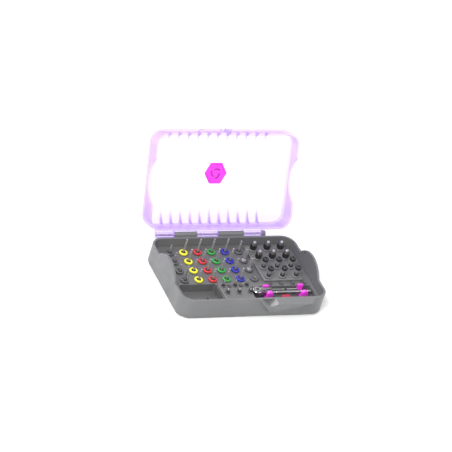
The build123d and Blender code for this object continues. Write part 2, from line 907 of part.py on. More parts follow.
save(grommet_set(driver_places, driver_grommet, driver_block_top), "driver_grommets")
for number, (x, y) in enumerate(sorted(driver_places, key=lambda place: (-place[1], place[0]))):
    if y > row_y(1) - row_pitch / 2:
        save(knob_driver(x, y), f"knob_driver_{number + 1}")
    else:
        save(head_driver(x, y), f"head_driver_{number + 1}")

save(grommet_set(bit_places, bit_grommet, bit_block_top), "bit_grommets")
save(grommet_set(spare_places, bit_grommet, tray_top), "spare_grommets")
save(bit_set(long_bit_places, long_bit_rise, long_bit_collar), "long_bits")
save(bit_set(short_bit_places, short_bit_rise, short_bit_head), "short_bits")

save(wrench_body(), "wrench_body")
save(ratchet_wheel(), "ratchet_wheel")
save(wrench_pawl(), "wrench_pawl")
save(wrench_beam(), "wrench_beam")
save(wrench_clip(clip_places[0]), "wrench_clip_left")
save(wrench_clip(clip_places[1]), "wrench_clip_right")
save(wrench_rest(), "wrench_rest")
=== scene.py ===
"""Looks of the hinged instrument cassette: camera, lights, materials and detailed pieces, in metres."""
import json
import math

import bmesh
import bpy
from mathutils import Matrix, Vector


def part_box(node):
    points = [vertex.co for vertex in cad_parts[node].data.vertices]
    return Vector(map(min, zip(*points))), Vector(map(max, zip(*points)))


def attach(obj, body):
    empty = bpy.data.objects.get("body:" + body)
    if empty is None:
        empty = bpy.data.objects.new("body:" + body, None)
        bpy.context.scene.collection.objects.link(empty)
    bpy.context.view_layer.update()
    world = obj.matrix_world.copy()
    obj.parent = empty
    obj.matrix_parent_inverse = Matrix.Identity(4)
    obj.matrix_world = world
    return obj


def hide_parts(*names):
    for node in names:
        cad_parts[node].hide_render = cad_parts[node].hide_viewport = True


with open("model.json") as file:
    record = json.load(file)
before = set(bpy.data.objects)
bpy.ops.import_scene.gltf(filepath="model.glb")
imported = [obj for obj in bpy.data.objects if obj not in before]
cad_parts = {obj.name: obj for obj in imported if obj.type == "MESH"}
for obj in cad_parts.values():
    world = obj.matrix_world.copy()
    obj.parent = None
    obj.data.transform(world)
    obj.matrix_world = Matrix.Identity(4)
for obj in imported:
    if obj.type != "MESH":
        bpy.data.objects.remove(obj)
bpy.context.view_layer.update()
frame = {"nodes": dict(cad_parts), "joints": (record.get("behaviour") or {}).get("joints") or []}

MM = 0.001
COLOURS = ("yellow", "red", "green", "blue")
ROWS = (1, 2, 3, 4)

# ------------------------------------------------------------------ camera, light and floor
VIEW_AZIMUTH = -32.07
VIEW_ELEVATION = 33.35
VIEW_ROLL = 18.09
VIEW_TARGET = Vector((-0.0205, 0.0236, 0.07))
VIEW_DISTANCE = 2.933
LENS = 201.5
FAR_CLIP = 50

SKY_STRENGTH = 0.9
# position on the sky ramp, from the horizon up, and its colour
SKY_LOW = (0.04, (0.12, 0.12, 0.13, 1))
SKY_HIGH = (0.42, (1, 1, 1, 1))
# name, place, aim, diameter, watts; the back light catches the ramp of the ledge's notch
LIGHTS = (
    ("key", (-1.0, -0.8, 1.4), (0, 0, 0.05), 0.7, 24),
    ("fill", (1.2, -0.9, 0.9), (0, 0, 0.05), 1.2, 5),
    ("back", (-0.6, 1.4, 1.3), (0.02, -0.05, 0.02), 0.5, 20),
)
FLOOR_SIDE = 8
FLOOR_SQUARES = 6


def add_camera():
    azimuth, elevation, roll = (math.radians(v) for v in (VIEW_AZIMUTH, VIEW_ELEVATION, VIEW_ROLL))
    back = Vector(
        (
            math.sin(azimuth) * math.cos(elevation),
            -math.cos(azimuth) * math.cos(elevation),
            math.sin(elevation),
        )
    )
    level = Vector((math.cos(azimuth), math.sin(azimuth), 0))
    upright = back.cross(level)
    right = math.cos(roll) * level + math.sin(roll) * upright
    up = math.cos(roll) * upright - math.sin(roll) * level
    data = bpy.data.cameras.new("camera")
    data.lens = LENS
    data.clip_end = FAR_CLIP
    camera = bpy.data.objects.new("camera", data)
    camera.matrix_world = Matrix.Translation(VIEW_TARGET + VIEW_DISTANCE * back) @ Matrix(
        (right, up, back)
    ).transposed().to_4x4()
    bpy.context.scene.collection.objects.link(camera)
    bpy.context.scene.camera = camera


def add_area(name, place, aim, size, power):
    data = bpy.data.lights.new(name, "AREA")
    data.shape = "DISK"
    data.size = size
    data.energy = power
    lamp = bpy.data.objects.new(name, data)
    turn = (Vector(aim) - Vector(place)).to_track_quat("-Z", "Y")
    lamp.matrix_world = Matrix.Translation(place) @ turn.to_matrix().to_4x4()
    bpy.context.scene.collection.objects.link(lamp)


def add_studio():
    scene = bpy.context.scene
    scene.view_settings.view_transform = "Standard"
    world = bpy.data.worlds.new("studio")
    world.use_nodes = True
    sky = world.node_tree.nodes["Background"]
    sky.inputs["Strength"].default_value = SKY_STRENGTH
    # white overhead, a darker band near the horizon so that polished rods get dark sides
    place = world.node_tree.nodes.new("ShaderNodeTexCoord")
    split = world.node_tree.nodes.new("ShaderNodeSeparateXYZ")
    ramp = world.node_tree.nodes.new("ShaderNodeValToRGB")
    for stop, (position, colour) in zip(ramp.color_ramp.elements, (SKY_LOW, SKY_HIGH)):
        stop.position, stop.color = position, colour
    world.node_tree.links.new(place.outputs["Generated"], split.inputs[0])
    world.node_tree.links.new(split.outputs["Z"], ramp.inputs["Fac"])
    world.node_tree.links.new(ramp.outputs["Color"], sky.inputs["Color"])
    scene.world = world
    for light in LIGHTS:
        add_area(*light)
    bm = bmesh.new()
    add_grid(
        bm,
        FLOOR_SQUARES,
        FLOOR_SQUARES,
        lambda u, v: Vector(((u - 0.5) * FLOOR_SIDE, (v - 0.5) * FLOOR_SIDE, 0)),
    )
    floor = new_object("floor", bm)
    floor.data.materials.append(floor_material())


# ------------------------------------------------------------------ node helpers
class Nodes:
    """Short way to add and join shader nodes in one material."""

    def __init__(self, name):
        self.material = bpy.data.materials.new(name)
        self.material.use_nodes = True
        self.tree = self.material.node_tree
        self.shader = self.tree.nodes["Principled BSDF"]
        self.output = self.tree.nodes["Material Output"]
        self.place = self.add("ShaderNodeTexCoord").outputs["Object"]

    def add(self, kind, **values):
        node = self.tree.nodes.new(kind)
        for key, value in values.items():
            setattr(node, key, value)
        return node

    def link(self, source, target):
        self.tree.links.new(source, target)

    def set(self, **values):
        for key, value in values.items():
            self.shader.inputs[key.replace("_", " ")].default_value = value

    def stretched(self, scale):
        mapping = self.add("ShaderNodeMapping")
        mapping.inputs["Scale"].default_value = scale
        self.link(self.place, mapping.inputs["Vector"])
        return mapping.outputs["Vector"]

    def noise(self, scale, detail=4.0, stretch=None):
        node = self.add("ShaderNodeTexNoise")
        node.inputs["Scale"].default_value = scale
        node.inputs["Detail"].default_value = detail
        self.link(self.stretched(stretch) if stretch else self.place, node.inputs["Vector"])
        return node.outputs["Fac"]

    def cells(self, scale):
        node = self.add("ShaderNodeTexVoronoi", feature="SMOOTH_F1")
        node.inputs["Scale"].default_value = scale
        node.inputs["Smoothness"].default_value = 0.6
        self.link(self.place, node.inputs["Vector"])
        return node.outputs["Distance"]

    def ramp(self, source, low, high, start=0.35, end=0.65):
        node = self.add("ShaderNodeMapRange")
        node.inputs["From Min"].default_value = start
        node.inputs["From Max"].default_value = end
        node.inputs["To Min"].default_value = low
        node.inputs["To Max"].default_value = high
        self.link(source, node.inputs["Value"])
        return node.outputs["Result"]

    def mix(self, factor, low, high):
        node = self.add("ShaderNodeMix", data_type="RGBA")
        self.link(factor, node.inputs["Factor"])
        for socket, value in ((node.inputs[6], low), (node.inputs[7], high)):
            if isinstance(value, tuple):
                socket.default_value = (*value, 1)
            else:
                self.link(value, socket)
        return node.outputs[2]

    def bump(self, height, distance, strength=1.0, normal=None):
        node = self.add("ShaderNodeBump")
        node.inputs["Distance"].default_value = distance
        node.inputs["Strength"].default_value = strength
        self.link(height, node.inputs["Height"])
        if normal is not None:
            self.link(normal, node.inputs["Normal"])
        return node.outputs["Normal"]

    def round_edges(self, radius):
        node = self.add("ShaderNodeBevel", samples=6)
        node.inputs["Radius"].default_value = radius
        return node.outputs["Normal"]

    def edge_mask(self, rounded, low=0.02, high=0.16):
        """1 along edges and 0 on flat faces: how far the rounded normal leans off the true one."""
        dot = self.add("ShaderNodeVectorMath", operation="DOT_PRODUCT")
        self.link(rounded, dot.inputs[0])
        self.link(self.add("ShaderNodeNewGeometry").outputs["True Normal"], dot.inputs[1])
        return self.ramp(dot.outputs["Value"], 1.0, 0.0, 1 - high, 1 - low)

    def times(self, first, second):
        node = self.add("ShaderNodeMath", operation="MULTIPLY")
        for socket, value in zip(node.inputs, (first, second)):
            if isinstance(value, float):
                socket.default_value = value
            else:
                self.link(value, socket)
        return node.outputs[0]


def shade(colour, factor):
    return tuple(min(1.0, c * factor) for c in colour)


def floor_material():
    n = Nodes("floor")
    n.link(n.mix(n.noise(3), (0.92, 0.92, 0.925), (0.95, 0.95, 0.95)), n.shader.inputs["Base Color"])
    n.set(Roughness=0.7, Specular_IOR_Level=0.15)
    return n.material


def moulded_plastic(name, colour, roughness, grain=0.35 * MM, edge=0.35 * MM, edge_light=0.5):
    """Moulded plastic: spark-eroded grain, faint flow marks, scuffs, and a painted highlight that makes the
    edges paler.
    """
    n = Nodes(name)
    rounded = n.round_edges(edge)
    flow = n.noise(14, 3, (1, 2.5, 1))
    base = n.mix(n.ramp(flow, 0, 1), shade(colour, 0.94), shade(colour, 1.06))
    speck = n.mix(n.ramp(n.noise(1 / (3 * grain), 2), 0, 1, 0.62, 0.75), base, shade(colour, 1.14))
    # painted highlight: the edges are made paler, broken up by noise
    painted_edge_highlight = n.times(n.edge_mask(rounded), n.ramp(n.noise(120, 4), edge_light * 0.5, edge_light, 0.3, 0.6))
    with_edge_highlight = n.mix(painted_edge_highlight, speck, tuple(min(1.0, 0.25 + 1.3 * c) for c in colour))
    n.link(with_edge_highlight, n.shader.inputs["Base Color"])
    scuffs = n.ramp(n.noise(1.0, 4, (260, 30, 120)), 0.0, 0.10, 0.58, 0.7)
    rough = n.add("ShaderNodeMath", operation="SUBTRACT")
    n.link(n.ramp(n.noise(90, 5), roughness - 0.05, roughness + 0.08), rough.inputs[0])
    n.link(scuffs, rough.inputs[1])
    n.link(rough.outputs[0], n.shader.inputs["Roughness"])
    n.link(n.bump(n.cells(1 / grain), 0.05 * MM, 0.22, rounded), n.shader.inputs["Normal"])
    n.set(Specular_IOR_Level=0.6)
    return n.material


def silicone(name, colour, glow=0.06):
    """Soft silicone: slightly translucent, satin, with fine dust and moulding mottle."""
    n = Nodes(name)
    mottle = n.mix(n.ramp(n.noise(420, 3), 0, 1), shade(colour, 0.88), shade(colour, 1.08))
    dust = n.mix(n.ramp(n.noise(5200, 2), 0, 0.35, 0.6, 0.72), mottle, (0.8, 0.8, 0.8))
    n.link(dust, n.shader.inputs["Base Color"])
    n.link(n.ramp(n.noise(700, 4), 0.34, 0.5), n.shader.inputs["Roughness"])
    n.link(n.bump(n.noise(3800, 3), 0.03 * MM, 0.25), n.shader.inputs["Normal"])
    n.set(Subsurface_Weight=glow, Subsurface_Scale=1.2 * MM, Coat_Weight=0.15, Coat_Roughness=0.3)
    return n.material


def turned_metal(name, colour, roughness, stretch=(500, 500, 9000), streak=0.12, metallic=1.0):
    """Turned or ground metal: fine grooves across the axis, uneven polish."""
    n = Nodes(name)
    grooves = n.noise(1.0, 3, stretch)
    tone = n.mix(n.ramp(grooves, 0, 1), shade(colour, 1 - streak), shade(colour, 1 + streak / 2))
    n.link(tone, n.shader.inputs["Base Color"])
    smudge = n.noise(260, 4)
    n.link(n.ramp(smudge, roughness * 0.75, roughness * 1.45), n.shader.inputs["Roughness"])
    n.link(n.bump(grooves, 0.012 * MM, 0.5), n.shader.inputs["Normal"])
    n.set(Metallic=metallic)
    return n.material


def anodised(name, colour, roughness):
    """Black anodised aluminium: dark satin skin, faint dust, rubbed a little lighter in places."""
    n = Nodes(name)
    rub = n.ramp(n.noise(900, 4), 0, 1, 0.55, 0.75)
    n.link(n.mix(rub, colour, shade(colour, 2.6)), n.shader.inputs["Base Color"])
    n.link(n.ramp(n.noise(500, 4), roughness - 0.06, roughness + 0.12), n.shader.inputs["Roughness"])
    n.link(n.bump(n.noise(9000, 2), 0.008 * MM, 0.4), n.shader.inputs["Normal"])
    n.set(Metallic=0.35, Specular_IOR_Level=0.5)
    return n.material


# painted shade: how much less the lid lets through near its hinge, for the refracted rear wall, and the
# heights over which that fades out
HINGE_PAINTED_SHADE = 0.13
HINGE_SHADE_HEIGHTS = (32 * MM, 62 * MM)


def clear_violet(name):
    """Clear violet plastic: paler face on, deeper violet where it is seen edge on, finely scratched."""
    n = Nodes(name)
    facing = n.add("ShaderNodeLayerWeight")
    facing.inputs["Blend"].default_value = 0.5
    lean = facing.outputs["Facing"]
    edge_on = n.ramp(lean, 0, 1, 0.12, 0.6)
    flow = n.ramp(n.noise(26, 3), 0, 1)
    film = n.mix(flow, (0.52, 0.37, 0.86), (0.58, 0.43, 0.90))
    n.link(film, n.shader.inputs["Base Color"])
    scratch = n.ramp(n.noise(1.0, 3, (900, 60, 900)), 0.08, 0.2, 0.5, 0.8)
    n.link(scratch, n.shader.inputs["Roughness"])
    rounded = n.round_edges(0.55 * MM)
    n.link(n.bump(n.noise(60, 2), 0.04 * MM, 0.2, rounded), n.shader.inputs["Normal"])
    n.set(Specular_IOR_Level=0.6)
    clear = n.add("ShaderNodeBsdfTransparent")
    n.link(n.mix(edge_on, (0.990, 0.978, 1.0), (0.80, 0.69, 0.95)), clear.inputs["Color"])
    # painted shade along the rims, for the light bent at the rounded edges
    rim = n.times(n.edge_mask(rounded, 0.01, 0.1), 0.5)
    # painted shade: the panel lets less through along its rims and near the hinge
    split = n.add("ShaderNodeSeparateXYZ")
    n.link(n.place, split.inputs[0])
    hinge_shade = n.ramp(split.outputs["Z"], HINGE_PAINTED_SHADE, 0.0, *HINGE_SHADE_HEIGHTS)
    painted_shade = n.add("ShaderNodeMath", operation="ADD", use_clamp=True)
    n.link(rim, painted_shade.inputs[0])
    n.link(hinge_shade, painted_shade.inputs[1])
    body = n.add("ShaderNodeMath", operation="ADD", use_clamp=True)
    n.link(n.ramp(lean, 0.012, 0.26, 0.08, 0.8), body.inputs[0])
    n.link(painted_shade.outputs[0], body.inputs[1])
    blend = n.add("ShaderNodeMixShader")
    n.link(body.outputs[0], blend.inputs["Fac"])
    n.link(clear.outputs["BSDF"], blend.inputs[1])
    n.link(n.shader.outputs["BSDF"], blend.inputs[2])
    n.link(blend.outputs["Shader"], n.output.inputs["Surface"])
    return n.material


# ------------------------------------------------------------------ mesh helpers
def repaint(node, material):
    data = frame["nodes"][node].data
    data.materials.clear()
    data.materials.append(material)


def new_object(name, bm, smooth=True):
    mesh = bpy.data.meshes.new(name)
    bm.normal_update()
    bm.to_mesh(mesh)
    bm.free()
    if smooth:
        mesh.shade_smooth()
    piece = bpy.data.objects.new(name, mesh)
    bpy.context.scene.collection.objects.link(piece)
    return piece


def add_grid(bm, columns, rows, place, closed=False, caps=False):
    """Sheet of quads from place(u, v), u and v from 0 to 1; closed joins the last column to the first."""
    count = columns if closed else columns + 1
    verts = [
        [bm.verts.new(place(i / columns, j / rows)) for i in range(count)] for j in range(rows + 1)
    ]
    for j in range(rows):
        for i in range(columns):
            k = (i + 1) % count
            bm.faces.new((verts[j][i], verts[j][k], verts[j + 1][k], verts[j + 1][i]))
    if caps:
        bm.faces.new(list(reversed(verts[0])))
        bm.faces.new(verts[-1])


def stitch(bm, first, second):
    """Joins two closed loops of as many vertices with quads."""
    for i in range(len(first)):
        k = (i + 1) % len(first)
        bm.faces.new((first[i], first[k], second[k], second[i]))


def add_lathe(bm, profile, place, segments=40, axis=(0, 0, 1)):
    """Turned shape: profile is (radius, distance along the axis) pairs from one end to the other."""
    turn = Vector((0, 0, 1)).rotation_difference(Vector(axis)).to_matrix()

    def spot(radius, along, i):
        angle = 2 * math.pi * i / segments
        return place + turn @ Vector((radius * math.cos(angle), radius * math.sin(angle), along))

    rings = [
        [bm.verts.new(spot(radius, along, i)) for i in range(segments if radius > 0 else 1)]
        for radius, along in profile
    ]
    for low, high in zip(rings, rings[1:]):
        for i in range(segments):
            k = (i + 1) % segments
            corners = [low[i % len(low)], low[k % len(low)], high[k % len(high)], high[i % len(high)]]
            bm.faces.new(list(dict.fromkeys(corners)))


def soften(points, radius, steps=3):
    """The same open profile with every corner rounded off to about the given radius."""
    rounded = [points[0]]
    for before, corner, after in zip(points, points[1:], points[2:]):
        a, b, c = Vector(before), Vector(corner), Vector(after)
        reach = min(radius, 0.45 * (a - b).length, 0.45 * (c - b).length)
        start = b + (a - b).normalized() * reach
        end = b + (c - b).normalized() * reach
        for k in range(steps + 1):
            t = k / steps
            spot = start.lerp(b, t).lerp(b.lerp(end, t), t)
            rounded.append((spot.x, spot.y))
    rounded.append(points[-1])
    return rounded


def islands(node):
    """Boxes (low, high) of the separate solids in a CAD node."""
    bm = bmesh.new()
    bm.from_mesh(frame["nodes"][node].data)
    bmesh.ops.remove_doubles(bm, verts=bm.verts, dist=0.002 * MM)
    seen = set()
    boxes = []
    for seed in bm.verts:
        if seed in seen:
            continue
        seen.add(seed)
        stack = [seed]
        low, high = seed.co.copy(), seed.co.copy()
        while stack:
            vert = stack.pop()
            low = Vector(map(min, low, vert.co))
            high = Vector(map(max, high, vert.co))
            for edge in vert.link_edges:
                other = edge.other_vert(vert)
                if other not in seen:
                    seen.add(other)
                    stack.append(other)
        boxes.append((low, high))
    bm.free()
    return sorted(boxes, key=lambda b: (round(-b[0].y, 3), b[0].x))


def finish_piece(piece, materials, body, node):
    """Gives the piece its materials and the body it rides, and hides the CAD node it stands for."""
    for material in materials:
        piece.data.materials.append(material)
    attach(piece, body)
    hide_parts(node)


def tag_new(bm, start, index):
    """Faces added since there were start of them get the material with this index."""
    bm.faces.ensure_lookup_table()
    for face in bm.faces[start:]:
        face.material_index = index


def tool_piece(node, bm, materials):
    """A tool is a body of its own, named like its node."""
    finish_piece(new_object(f"{node}_tool", bm), materials, node, node)


def centre_line(box):
    low, high = box
    return Vector(((low.x + high.x) / 2, (low.y + high.y) / 2, 0))


# ------------------------------------------------------------------ grommets
def grommet_profile(radius, top, bottom, height, dish, dish_depth, bore, neck):
    """Flange like half a ring doughnut, dished mouth, waisted neck and a bead under the plate."""
    face = top - height
    crown = (top - face) / 2
    outer = [
        (radius - crown * (1 - math.cos(t)), face + crown + crown * math.sin(t))
        for t in [math.radians(a) for a in range(-80, 85, 12)]
    ]
    mouth = [(dish + 0.5 * MM, top), (dish, top - 0.35 * MM), (dish - 0.15 * MM, top - dish_depth)]
    inner = [(bore, top - dish_depth - 0.1 * MM), (bore, bottom)]
    foot = [
        (neck, bottom),
        (neck + 0.6 * MM, bottom + 0.6 * MM),
        (neck + 0.6 * MM, bottom + 1.1 * MM),
        (neck, bottom + 1.3 * MM),
        (neck, face),
    ]
    return foot + outer + mouth + inner


RING = dict(height=3.2 * MM, dish=3.3 * MM, dish_depth=1.6 * MM, bore=2.45 * MM, neck=3.7 * MM)
DRIVER_RING = dict(height=2.2 * MM, dish=2.6 * MM, dish_depth=0.8 * MM, bore=2.0 * MM, neck=3.0 * MM)
SMALL_RING = dict(height=1.6 * MM, dish=1.9 * MM, dish_depth=0.6 * MM, bore=1.5 * MM, neck=2.1 * MM)


def add_grommets(node, sizes, material):
    bm = bmesh.new()
    for low, high in islands(node):
        profile = grommet_profile((high.x - low.x) / 2, high.z, low.z, **sizes)
        add_lathe(bm, profile + profile[:1], centre_line((low, high)), 48)
    bmesh.ops.remove_doubles(bm, verts=bm.verts, dist=0.001 * MM)
    finish_piece(new_object(f"{node}_soft", bm), (material,), "tray", node)


# ------------------------------------------------------------------ rotary instruments
DRILL_RADII = {"yellow": 1.3 * MM, "red": 1.6 * MM, "green": 1.85 * MM, "blue": 2.1 * MM}
PILOT_RADII = (1.2 * MM, 1.8 * MM, 1.0 * MM, 1.2 * MM)
SHANK = 1.175 * MM
COLLAR = 2.8 * MM
COLLAR_HEIGHT = 1.4 * MM
SEAT_GAP = 0.1 * MM
GROOVE = 0.85 * MM
GROOVE_SPAN = (2.3 * MM, 3.3 * MM)
GROOVE_SLOPE = 0.1 * MM
FLAT_LENGTH = 5 * MM
FLAT_DEPTH = 0.45 * MM
FLUTE_TURNS = 1.1
FLUTE_DEPTH = 0.42
PUNCH = 2.7 * MM
PUNCH_WALL = 0.5 * MM
PUNCH_CUP = 12 * MM


def ring_seat(node):
    """Height at which a collar rests in the dish of these grommets."""
    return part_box(node)[1].z - RING["dish_depth"] + SEAT_GAP


def add_fluted_body(bm, place, low, high, radius, segments=48, rows=40):
    """Two-lipped twist drill body with a pointed end."""
    point = radius * 0.6

    def spot(u, v):
        z = low + (high - low) * v
        angle = 2 * math.pi * u
        twist = FLUTE_TURNS * 2 * math.pi * v
        groove = max(0.0, math.cos(2 * (angle - twist))) ** 1.5
        fade = min(1.0, (1 - v) * 6)
        r = radius * (1 - FLUTE_DEPTH * groove * fade)
        r *= min(1.0, 0.04 + (z - low) / point)
        return place + Vector((r * math.cos(angle), r * math.sin(angle), z))

    add_grid(bm, segments, rows, spot, closed=True, caps=True)


def hub_profile(seat):
    """Stop collar that rests in the dish of the grommet."""
    points = [
        (0, seat),
        (COLLAR, seat),
        (COLLAR, seat + 0.5 * MM),
        (COLLAR - 0.4 * MM, seat + 0.7 * MM),
        (COLLAR - 0.4 * MM, seat + COLLAR_HEIGHT),
        (SHANK + 0.3 * MM, seat + COLLAR_HEIGHT + 0.2 * MM),
        (SHANK, seat + COLLAR_HEIGHT + 0.1 * MM),
    ]
    return soften(points, 0.15 * MM)


def shank_profile(seat, top):
    """Latch shank above its collar: plain rod, groove and rounded end."""
    near, far = GROOVE_SPAN
    points = [
        (SHANK, seat + COLLAR_HEIGHT - 0.2 * MM),
        (SHANK, top - far - GROOVE_SLOPE),
        (GROOVE, top - far),
        (GROOVE, top - near),
        (SHANK, top - near + GROOVE_SLOPE),
        (SHANK, top),
        (0, top),
    ]
    return soften(points, 0.2 * MM)


def flatten_side(bm, place, above, reach):
    """Mill the drive flat into the shank: nothing above that height stands further than reach along X."""
    for vert in bm.verts:
        if vert.co.z > above and vert.co.x > place.x + reach:
            vert.co.x = place.x + reach


def add_rotary(node, radius, materials, fluted=True):
    """Drill with a fluted body, or a smooth one with a rounded tip, below its collar and latch shank."""
    low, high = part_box(node)
    place = centre_line((low, high))
    seat = ring_seat("yellow_grommets")
    bm = bmesh.new()
    add_lathe(bm, shank_profile(seat, high.z), place)
    flatten_side(bm, place, high.z - FLAT_LENGTH, SHANK - FLAT_DEPTH)
    hub_start = len(bm.faces)
    add_lathe(bm, hub_profile(seat), place)
    tag_new(bm, hub_start, 2)
    body_start = len(bm.faces)
    if fluted:
        add_fluted_body(bm, place, low.z, seat, radius)
    else:
        tip = [(0, low.z), (radius * 0.4, low.z + 0.4 * MM)]
        tip += [(radius, low.z + 1.6 * MM), (radius, seat)]
        add_lathe(bm, soften(tip, 0.3 * MM) + [(0, seat)], place)
    tag_new(bm, body_start, 1)
    tool_piece(node, bm, materials)


def add_punch(node, material):
    """Tissue punch: a shank below and a thin-walled cup above, open at the top."""
    low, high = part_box(node)
    place = centre_line((low, high))
    seat = ring_seat("grey_grommets")
    rim, cup_floor = high.z, high.z - PUNCH_CUP
    profile = [
        (0, low.z),
        (SHANK * 0.8, low.z),
        (SHANK, low.z + 0.5 * MM),
        (SHANK, seat),
        (COLLAR, seat),
        (COLLAR, seat + COLLAR_HEIGHT),
        (SHANK, seat + COLLAR_HEIGHT + 0.3 * MM),
        (SHANK, cup_floor - PUNCH),
        (PUNCH, cup_floor),
        (PUNCH, rim - 1.2 * MM),
        (PUNCH - PUNCH_WALL * 0.8, rim),
        (PUNCH - PUNCH_WALL, rim - 0.1 * MM),
        (PUNCH - PUNCH_WALL, cup_floor),
        (0, cup_floor - 0.3 * MM),
    ]
    bm = bmesh.new()
    add_lathe(bm, soften(profile, 0.18 * MM), place, 48)
    tool_piece(node, bm, (material,))


# ------------------------------------------------------------------ drivers and bits
KNOB_NUMBERS = range(1, 7)
HEAD_NUMBERS = range(7, 13)
KNOB_HEIGHT = 8 * MM
KNOB_FOOT = 1.3 * MM
KNOB_CROWN = 2.4 * MM
HEAD_HEIGHT = 4.5 * MM
HEAD_FOOT = 0.9 * MM
HEAD_CROWN = 1.0 * MM
SOCKET_TIP = 1.9 * MM
SOCKET_END = 1.55 * MM
DRIVER_STEM = 1.3 * MM
DRIVER_SHAFT = 1.6 * MM
BIT_STEM = 1.1 * MM
BIT_TIP = 0.8 * MM
LONG_BIT_HEAD = 1.7 * MM
SHORT_BIT_HEAD = 2.4 * MM


def block_seat(node):
    """Height at which a tool rests on top of these grommets."""
    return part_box(node)[1].z + SEAT_GAP


def add_hex_shaft(bm, place, low, seat):
    """Hexagonal shaft with a tapered end, from the seat down into the block."""
    shaft = [(0, low), (DRIVER_SHAFT - 0.4 * MM, low), (DRIVER_SHAFT, low + 0.5 * MM)]
    shaft += [(DRIVER_SHAFT, seat), (0, seat)]
    add_lathe(bm, soften(shaft, 0.2 * MM), place, 6)


def add_knurl(bm, place, low, high, radius, depth=0.22 * MM, teeth=20, bands=5):
    """Diamond-knurled sleeve: a grid whose corners rise where two spiral waves meet."""
    columns, rows = teeth * 4, bands * 6

    def spot(u, v):
        rising, falling = (2 * math.pi * (teeth * u + way * bands * v) for way in (1, -1))
        wave = math.cos(rising) * math.cos(falling)
        ease = min(1.0, 10 * v, 10 * (1 - v))
        r = radius - depth + depth * abs(wave) * ease
        angle = 2 * math.pi * u
        return place + Vector((r * math.cos(angle), r * math.sin(angle), low + (high - low) * v))

    add_grid(bm, columns, rows, spot, closed=True)


def add_knob_driver(node, materials):
    """Short driver: knurled black knob with a steel socket tip above and a hexagonal shaft below."""
    low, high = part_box(node)
    place = centre_line((low, high))
    radius = (high.x - low.x) / 2
    seat = block_seat("driver_grommets")
    knob_top = seat + KNOB_HEIGHT
    bm = bmesh.new()
    lower = [(0, seat), (radius - 0.9 * MM, seat), (radius - 0.15 * MM, seat + 0.7 * MM)]
    lower += [(radius - 0.2 * MM, seat + KNOB_FOOT)]
    add_lathe(bm, soften(lower, 0.3 * MM), place, 80)
    add_knurl(bm, place, seat + KNOB_FOOT, knob_top - KNOB_CROWN, radius)
    upper = [
        (radius - 0.2 * MM, knob_top - KNOB_CROWN),
        (radius - 0.15 * MM, knob_top - 1.2 * MM),
        (radius - 1.2 * MM, knob_top - 0.2 * MM),
        (radius - 1.7 * MM, knob_top),
        (1.5 * MM, knob_top),
    ]
    add_lathe(bm, soften(upper, 0.35 * MM), place, 80)
    steel_start = len(bm.faces)
    tip = [
        (SOCKET_TIP, knob_top - 0.2 * MM),
        (SOCKET_TIP, high.z - 1.1 * MM),
        (SOCKET_END, high.z - 0.9 * MM),
        (SOCKET_END, high.z - 0.35 * MM),
        (1.2 * MM, high.z),
        (0, high.z),
    ]
    add_lathe(bm, soften(tip, 0.15 * MM), place, 32)
    add_hex_shaft(bm, place, low.z, seat)
    tag_new(bm, steel_start, 1)
    tool_piece(node, bm, materials)


def add_head_driver(node, materials):
    """Long driver: low collar, steel stem and a knurled black head with a recess."""
    low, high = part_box(node)
    place = centre_line((low, high))
    radius = (high.x - low.x) / 2
    seat = block_seat("driver_grommets")
    head_low = high.z - HEAD_HEIGHT
    bm = bmesh.new()
    head = [
        (1.2 * MM, head_low),
        (radius - 0.8 * MM, head_low),
        (radius - 0.1 * MM, head_low + 0.7 * MM),
        (radius - 0.15 * MM, head_low + HEAD_FOOT),
    ]
    add_lathe(bm, soften(head, 0.25 * MM), place, 72)
    add_knurl(bm, place, head_low + HEAD_FOOT, high.z - HEAD_CROWN, radius, 0.2 * MM, 18, 3)
    crown = [
        (radius - 0.15 * MM, high.z - HEAD_CROWN),
        (radius - 0.25 * MM, high.z - 0.6 * MM),
        (radius - 0.9 * MM, high.z),
        (1.5 * MM, high.z),
        (1.4 * MM, high.z - 1.4 * MM),
        (0, high.z - 1.5 * MM),
    ]
    add_lathe(bm, soften(crown, 0.2 * MM), place, 72)
    collar = [
        (0, seat),
        (COLLAR, seat),
        (COLLAR, seat + 2.0 * MM),
        (COLLAR - 0.6 * MM, seat + 2.7 * MM),
        (DRIVER_STEM, seat + 2.8 * MM),
    ]
    add_lathe(bm, soften(collar, 0.25 * MM), place, 40)
    steel_start = len(bm.faces)
    stem = [(DRIVER_STEM, seat + 2.7 * MM), (DRIVER_STEM, head_low + 0.1 * MM)]
    add_lathe(bm, stem, place, 32)
    add_hex_shaft(bm, place, low.z, seat)
    tag_new(bm, steel_start, 1)
    tool_piece(node, bm, materials)


def add_bits(node, head, materials):
    """Screw bits: round collar, and a stem that ends in a small socket."""
    bm = bmesh.new()
    seat = block_seat("bit_grommets")
    boxes = islands(node)
    for low, high in boxes:
        collar = [
            (0, low.z),
            (BIT_TIP, low.z),
            (BIT_STEM, low.z + 0.4 * MM),
            (BIT_STEM, seat),
            (head, seat),
            (head, seat + 1.7 * MM),
            (head - 0.4 * MM, seat + 2.0 * MM),
            (BIT_STEM, seat + 2.05 * MM),
        ]
        add_lathe(bm, soften(collar, 0.15 * MM), centre_line((low, high)), 36)
    steel_start = len(bm.faces)
    for low, high in boxes:
        stem = [
            (BIT_STEM, seat + 2.0 * MM),
            (BIT_STEM, high.z - 1.3 * MM),
            (BIT_TIP, high.z - 1.1 * MM),
            (BIT_TIP, high.z),
            (0.45 * MM, high.z),
            (0.4 * MM, high.z - 0.5 * MM),
            (0, high.z - 0.6 * MM),
        ]
        add_lathe(bm, soften(stem, 0.1 * MM), centre_line((low, high)), 24)
    tag_new(bm, steel_start, 1)
    tool_piece(node, bm, materials)


